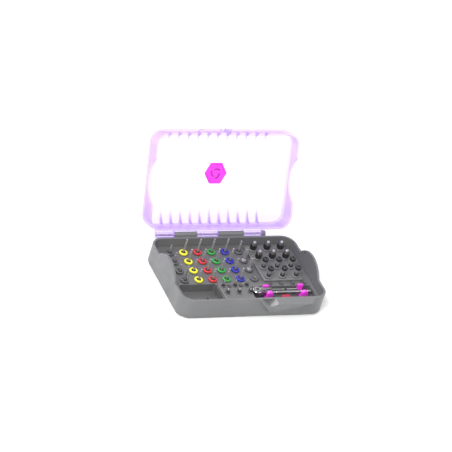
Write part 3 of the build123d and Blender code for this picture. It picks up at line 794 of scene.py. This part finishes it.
# ------------------------------------------------------------------ torque wrench and its holders
WRENCH_HEAD = 6.3 * MM
HEAD_HALF = 3.5 * MM
HEAD_BEVEL = 1.0 * MM
WHEEL_BORE = 4.05 * MM
NECK_HALF = 2.5 * MM
NECK_INSET = 1.3 * MM
NECK_COVER = 1.7 * MM
NECK_SPLIT = 0.1 * MM
V_START = 3.4 * MM
HANDLE_Y = -33.0 * MM
HANDLE = 2.0 * MM
HANDLE_GROOVE = (6.0 * MM, 7.5 * MM)
GROOVE_STEP = 0.25 * MM
CAP = 2.4 * MM
CAP_LENGTH = 3.0 * MM
GRIP_RINGS = 14
GRIP_PITCH = 1.0 * MM
GRIP_DEPTH = 0.22 * MM
BEAM = 1.1 * MM
BEAM_NECK = 0.8 * MM
BEAM_STOP = 1.6 * MM
BEAM_STOP_SPAN = (50.8 * MM, 53.2 * MM)
CLIP_POST = 4.2 * MM
CLIP_REAR_POST = 2.1 * MM
CLIP_REAR_DROP = 1.05 * MM
CLIP_FOOT = 2.0 * MM
CLIP_CROWN = 3.6 * MM
CLIP_CORNER = 0.5 * MM
CLIP_LAP = 0.3 * MM
QUARTER_STEPS = 12


def add_prism(bm, outline, low, high):
    """Upright prism over a closed outline in X and Y."""
    near = [bm.verts.new((x, y, low)) for x, y in outline]
    far = [bm.verts.new((x, y, high)) for x, y in outline]
    stitch(bm, near, far)
    bm.faces.new(list(reversed(near)))
    bm.faces.new(far)
    bmesh.ops.recalc_face_normals(bm, faces=bm.faces)


def add_bevel(piece, width, segments, angle):
    modifier = piece.modifiers.new("edges", "BEVEL")
    modifier.width = width
    modifier.segments = segments
    modifier.limit_method = "ANGLE"
    modifier.angle_limit = math.radians(angle)


def rounded_outline(points, radius):
    """Closed outline with its corners rounded off."""
    return soften([points[-1], *points, points[0]], radius, 4)[1:-1]


def head_centre():
    low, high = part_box("ratchet_wheel")
    return (low + high) / 2


def add_wrench(material):
    """Ring head, two-armed neck with a V between, grooved handle, ringed grip and end cap."""
    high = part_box("wrench_body")[1]
    beam_low, beam_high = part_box("wrench_beam")
    centre = head_centre()
    neck_end = beam_low.x
    beam_y = (beam_low.y + beam_high.y) / 2
    bm = bmesh.new()
    ring = [
        (WHEEL_BORE, -HEAD_HALF),
        (4.6 * MM, -HEAD_HALF),
        (WRENCH_HEAD - HEAD_BEVEL, -HEAD_HALF),
        (WRENCH_HEAD, -HEAD_HALF + 1.1 * MM),
        (WRENCH_HEAD, HEAD_HALF - 1.1 * MM),
        (WRENCH_HEAD - HEAD_BEVEL, HEAD_HALF),
        (4.6 * MM, HEAD_HALF),
        (WHEEL_BORE, HEAD_HALF - 0.4 * MM),
        (WHEEL_BORE, -HEAD_HALF),
    ]
    add_lathe(bm, soften(ring, 0.5 * MM), centre, 64)
    root = WRENCH_HEAD - NECK_INSET
    inner, fork = centre.x + WRENCH_HEAD - 0.4 * MM, centre.x + WRENCH_HEAD + V_START
    upper = [
        (centre.x + 1.5 * MM, centre.y + root),
        (neck_end, beam_y + NECK_COVER),
        (neck_end + 2.2 * MM, beam_y + NECK_COVER),
        (neck_end + 2.2 * MM, beam_y - 1.15 * MM),
        (fork, centre.y + NECK_SPLIT),
        (inner, centre.y + NECK_SPLIT),
    ]
    lower = [
        (inner, centre.y - NECK_SPLIT),
        (fork, centre.y - NECK_SPLIT),
        (neck_end + 1.0 * MM, HANDLE_Y + HANDLE),
        (neck_end + 1.0 * MM, HANDLE_Y - HANDLE),
        (centre.x + 1.5 * MM, centre.y - root),
    ]
    for outline in (upper, lower):
        add_prism(bm, rounded_outline(outline, 0.4 * MM), centre.z - NECK_HALF, centre.z + NECK_HALF)
    start = neck_end - 0.5 * MM
    cap = high.x - CAP_LENGTH
    grip_start = cap - (GRIP_RINGS + 1) * GRIP_PITCH
    groove_start, groove_end = (start + along for along in HANDLE_GROOVE)
    handle = [
        (0, start),
        (HANDLE, start),
        (HANDLE, groove_start),
        (HANDLE - GROOVE_STEP, groove_start + 0.3 * MM),
        (HANDLE - GROOVE_STEP, groove_end - 0.3 * MM),
        (HANDLE, groove_end),
        (HANDLE, grip_start),
    ]
    axis_point = Vector((0, HANDLE_Y, centre.z))
    add_lathe(bm, soften(handle, 0.2 * MM), axis_point, 40, (1, 0, 0))
    grip = [(HANDLE, grip_start)]
    for i in range(GRIP_RINGS):
        along = grip_start + i * GRIP_PITCH
        grip += [(HANDLE, along + 0.15 * MM), (HANDLE - GRIP_DEPTH, along + 0.35 * MM)]
        grip += [(HANDLE - GRIP_DEPTH, along + 0.6 * MM), (HANDLE, along + 0.8 * MM)]
    grip += [(HANDLE, cap), (CAP, cap + 0.3 * MM), (CAP, high.x - 0.5 * MM)]
    grip += [(CAP - 0.4 * MM, high.x), (0, high.x)]
    add_lathe(bm, grip, axis_point, 40, (1, 0, 0))
    piece = new_object("wrench_detail", bm)
    add_bevel(piece, 0.25 * MM, 2, 40)
    finish_piece(piece, (material,), "torque_wrench", "wrench_body")


def add_beam(material, dark):
    """Measuring beam with a dark stop collar and a stepped free end."""
    low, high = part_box("wrench_beam")
    place = Vector((0, (low.y + high.y) / 2, (low.z + high.z) / 2))
    bm = bmesh.new()
    profile = [(0, low.x), (BEAM, low.x + 0.1 * MM), (BEAM, high.x - 1.2 * MM)]
    profile += [(BEAM_NECK, high.x - 1.0 * MM), (BEAM_NECK, high.x - 0.3 * MM)]
    profile += [(0.5 * MM, high.x), (0, high.x)]
    add_lathe(bm, soften(profile, 0.15 * MM), place, 32, (1, 0, 0))
    start = len(bm.faces)
    near, far = BEAM_STOP_SPAN
    collar = [(BEAM, near), (BEAM_STOP, near), (BEAM_STOP, far), (BEAM, far)]
    add_lathe(bm, soften(collar, 0.3 * MM), place, 32, (1, 0, 0))
    tag_new(bm, start, 1)
    piece = new_object("wrench_beam_detail", bm)
    finish_piece(piece, (material, dark), "torque_wrench", "wrench_beam")


def arch_outline(centre_x, half, low, high, radius):
    """Upright outline in X and Z with the two top corners rounded to the given radius."""
    outline = [(centre_x - half, low), (centre_x + half, low)]
    for side, start in ((1, 0), (-1, 90)):
        for k in range(QUARTER_STEPS + 1):
            angle = math.radians(start + 90 * k / QUARTER_STEPS)
            across = centre_x + side * (half - radius) + radius * math.cos(angle)
            outline.append((across, high - radius + radius * math.sin(angle)))
    return outline


def add_arch(bm, outline, front, back):
    """Solid over an outline in X and Z, from one depth along Y to the other."""
    near = [bm.verts.new((x, front, z)) for x, z in outline]
    far = [bm.verts.new((x, back, z)) for x, z in outline]
    stitch(bm, near, far)
    bm.faces.new(near)
    bm.faces.new(far)


def add_clip(node, material):
    """U clip: foot, round-topped front post and lower rear post, all with soft moulded edges."""
    low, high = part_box(node)
    centre_x, half = (low.x + high.x) / 2, (high.x - low.x) / 2
    front_end, rear_start = low.y + CLIP_POST, high.y - CLIP_REAR_POST
    front = arch_outline(centre_x, half, low.z, high.z, CLIP_CROWN)
    rear = arch_outline(centre_x, half, low.z, high.z - CLIP_REAR_DROP, CLIP_CORNER)
    foot = [(low.x, low.z), (high.x, low.z), (high.x, low.z + CLIP_FOOT), (low.x, low.z + CLIP_FOOT)]
    bm = bmesh.new()
    add_arch(bm, front, low.y, front_end)
    add_arch(bm, rear, rear_start, high.y)
    add_arch(bm, foot, front_end - CLIP_LAP, rear_start + CLIP_LAP)
    bmesh.ops.recalc_face_normals(bm, faces=bm.faces)
    piece = new_object(f"{node}_soft", bm)
    add_bevel(piece, 0.55 * MM, 4, 50)
    finish_piece(piece, (material,), "tray", node)


def add_rest(node, material):
    """Low half-round pad."""
    low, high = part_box(node)
    radius = (high.x - low.x) / 2
    centre_x = (low.x + high.x) / 2
    outline = [(low.x, low.y)]
    for i in range(2 * QUARTER_STEPS + 1):
        angle = math.pi * i / (2 * QUARTER_STEPS)
        depth = min(high.y, low.y + radius * math.sin(angle))
        outline.append((centre_x - radius * math.cos(angle), depth))
    outline = list(dict.fromkeys(outline))
    bm = bmesh.new()
    add_prism(bm, outline, low.z, high.z)
    piece = new_object(f"{node}_soft", bm)
    add_bevel(piece, 0.7 * MM, 4, 50)
    finish_piece(piece, (material,), "tray", node)


# ------------------------------------------------------------------ badge on the lid
BADGE_RELIEF = 0.4 * MM
BADGE_CORNER = 0.8 * MM
BADGE_CHAMFER = 0.35 * MM
BADGE_RIM = (1.9 * MM, 2.3 * MM)
SWIRL_COUNT = 3
# radius at which each edge of a swirl starts, and the way round in which it runs
SWIRL_REACH = ((5.4 * MM, 1), (3.6 * MM, -1))
SWIRL_DRIFT = 1.6 * MM
SWIRL_HALF_ANGLE = 45
SWIRL_STEPS = 12


def lid_swing():
    """Turns the lid from shut to the open position it is drawn in."""
    joint = next(j for j in frame["joints"] if j["name"] == "lid_hinge")
    pivot = Matrix.Translation(Vector(joint["pos_m"]))
    angle = math.radians(-joint["range_deg"][0])
    return pivot @ Matrix.Rotation(angle, 4, Vector(joint["axis"])) @ pivot.inverted()


def add_badge(material, inlay):
    """Hexagon badge: chamfered plate, raised rim and a plain relief of three swirls."""
    swing = lid_swing()
    shut = [swing.inverted() @ vert.co for vert in frame["nodes"]["lid_emblem"].data.vertices]
    low = Vector(map(min, zip(*shut)))
    high = Vector(map(max, zip(*shut)))
    centre = (low + high) / 2
    flat = (high.y - low.y) / 2
    face, back = low.z, high.z
    floor = face + BADGE_RELIEF

    def around(reach, degrees):
        angle = math.radians(degrees)
        return (centre.x + reach * math.cos(angle), centre.y + reach * math.sin(angle))

    def hexagon(reach):
        corner = reach / math.cos(math.pi / 6)
        return rounded_outline([around(corner, 60 * i) for i in range(6)], BADGE_CORNER)

    bm = bmesh.new()
    add_prism(bm, hexagon(flat), floor, back)
    levels = ((0, floor), (BADGE_CHAMFER, face), (BADGE_RIM[0], face), (BADGE_RIM[1], floor))
    rings = [[bm.verts.new((*pair, z)) for pair in hexagon(flat - inset)] for inset, z in levels]
    for outer, inner, mark in zip(rings, rings[1:], (1, 0, 1)):
        start = len(bm.faces)
        stitch(bm, outer, inner)
        tag_new(bm, start, mark)
    start = len(bm.faces)
    for turn in range(SWIRL_COUNT):
        arc = []
        for reach, side in SWIRL_REACH:
            for k in range(SWIRL_STEPS + 1):
                share = k / SWIRL_STEPS
                sweep = side * (2 * share - 1) * SWIRL_HALF_ANGLE
                drift = SWIRL_DRIFT * (share if side > 0 else 1 - share)
                arc.append(around(reach + drift, 360 / SWIRL_COUNT * turn + SWIRL_HALF_ANGLE + sweep))
        add_prism(bm, arc, face + 0.05 * MM, floor + 0.1 * MM)
    tag_new(bm, start, 1)
    bmesh.ops.recalc_face_normals(bm, faces=bm.faces)
    bm.transform(swing)
    piece = new_object("lid_badge", bm, smooth=False)
    add_bevel(piece, 0.12 * MM, 2, 40)
    finish_piece(piece, (material, inlay), "lid", "lid_emblem")


# ------------------------------------------------------------------ build
add_camera()
add_studio()

# the last number given to the tray and block plastics is the strength of their painted edge highlight
case_plastic = moulded_plastic("grey_case", (0.148, 0.150, 0.153), 0.42)
tray_plastic = moulded_plastic("grey_tray", (0.12, 0.12, 0.122), 0.5, 0.3 * MM, 0.3 * MM, 0.9)
block_plastic = moulded_plastic("grey_block", (0.135, 0.135, 0.136), 0.5, 0.3 * MM, 0.7 * MM, 1.0)
steel = turned_metal("tool_steel", (0.50, 0.495, 0.49), 0.36, metallic=0.7)
# painted shade: the stop collars get near-black steel to stand in for the shade in the grommets' dishes
hub_steel_painted_shade = turned_metal("hub_steel_painted_shade", (0.09, 0.09, 0.09), 0.35)
chrome = turned_metal("wrench_chrome", (0.36, 0.36, 0.365), 0.2, (900, 900, 900), 0.08)
cut_steel = turned_metal("cutting_steel", (0.45, 0.45, 0.46), 0.26, (2500, 2500, 2500))
dark_steel = turned_metal("dark_steel", (0.34, 0.34, 0.345), 0.36, metallic=0.55)
black = anodised("black_anodised", (0.036, 0.036, 0.038), 0.22)
clear_lid = clear_violet("clear_violet")

RUBBERS = {
    "yellow": silicone("yellow_silicone", (0.90, 0.86, 0.02)),
    "red": silicone("red_silicone", (0.62, 0.012, 0.016)),
    "green": silicone("green_silicone", (0.02, 0.34, 0.04)),
    "blue": silicone("blue_silicone", (0.012, 0.014, 0.42)),
    "grey": silicone("grey_silicone", (0.085, 0.085, 0.09)),
    "pale": silicone("pale_grey_silicone", (0.17, 0.17, 0.175)),
    "magenta": silicone("magenta_silicone", (0.86, 0.05, 0.72)),
    "crimson": silicone("crimson_silicone", (0.36, 0.002, 0.05), 0.0),
}

repaint("base_shell", case_plastic)
repaint("tray_plate", tray_plastic)
repaint("driver_block", block_plastic)
repaint("bit_block", block_plastic)
repaint("lid_shell", clear_lid)
repaint("hinge_pin", steel)

for colour in COLOURS:
    add_grommets(f"{colour}_grommets", RING, RUBBERS[colour])
add_grommets("grey_grommets", RING, RUBBERS["grey"])
add_grommets("driver_grommets", DRIVER_RING, RUBBERS["pale"])
add_grommets("bit_grommets", SMALL_RING, RUBBERS["grey"])
add_grommets("spare_grommets", SMALL_RING, RUBBERS["grey"])

for colour in COLOURS:
    for row in ROWS:
        add_rotary(f"drill_{colour}_{row}", DRILL_RADII[colour], (steel, cut_steel, hub_steel_painted_shade))
for row, radius in zip(ROWS, PILOT_RADII):
    add_rotary(f"pilot_drill_{row}", radius, (dark_steel, dark_steel, hub_steel_painted_shade), fluted=False)
add_rotary("depth_probe", SHANK, (steel, steel, hub_steel_painted_shade), fluted=False)
add_punch("tissue_punch_1", steel)
add_punch("tissue_punch_2", steel)
for number in KNOB_NUMBERS:
    add_knob_driver(f"knob_driver_{number}", (black, steel))
for number in HEAD_NUMBERS:
    add_head_driver(f"head_driver_{number}", (black, steel))
add_bits("long_bits", LONG_BIT_HEAD, (black, dark_steel))
add_bits("short_bits", SHORT_BIT_HEAD, (black, steel))

add_wrench(chrome)
add_beam(chrome, black)
repaint("ratchet_wheel", dark_steel)
repaint("wrench_pawl", steel)
for side in ("left", "right"):
    add_clip(f"wrench_clip_{side}", RUBBERS["magenta"])
add_rest("wrench_rest", RUBBERS["crimson"])
add_badge(silicone("badge", (0.90, 0.035, 0.80), 0.0), silicone("badge_inlay", (0.34, 0.01, 0.31), 0.0))
